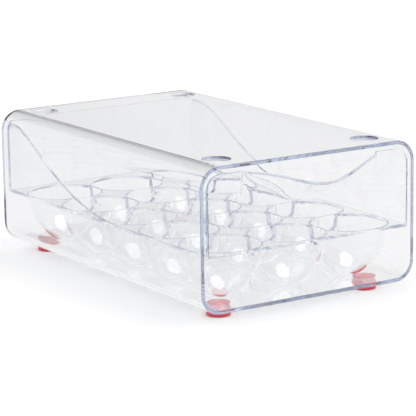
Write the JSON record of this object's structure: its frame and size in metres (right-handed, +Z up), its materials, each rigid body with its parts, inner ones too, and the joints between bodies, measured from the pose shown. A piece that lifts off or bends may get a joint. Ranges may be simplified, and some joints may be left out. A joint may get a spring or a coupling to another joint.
{
  "type": "egg keeper",
  "caption": "Clear stacking egg keeper: a rounded sleeve on rubber feet, closed at the back, with a pull-out drawer of egg cups behind a flared pull lip.",
  "frame": {"origin": "on the surface the keeper stands on, under the middle of its closed length, pull lip included", "axes": "+Z is up; +Y runs from the pull lip to the closed back; +X runs across, to the right as seen from the front"},
  "size_m": [0.165, 0.279, 0.0997],
  "materials": {
    "sleeve_plastic": "clear, polished",
    "drawer_plastic": "clear, polished",
    "foot_rubber": "satin"
  },
  "bodies": {
    "sleeve": {"sleeve": "sleeve_plastic", "foot_front_left": "foot_rubber", "foot_front_right": "foot_rubber", "foot_back_left": "foot_rubber", "foot_back_right": "foot_rubber"},
    "drawer": {"egg_drawer": "drawer_plastic"}
  },
  "joints": [
    {"name": "drawer_slide", "type": "slide", "parent": "sleeve", "child": "drawer", "axis": [0, -1, 0], "range_m": [0, 0.2]}
  ]
}
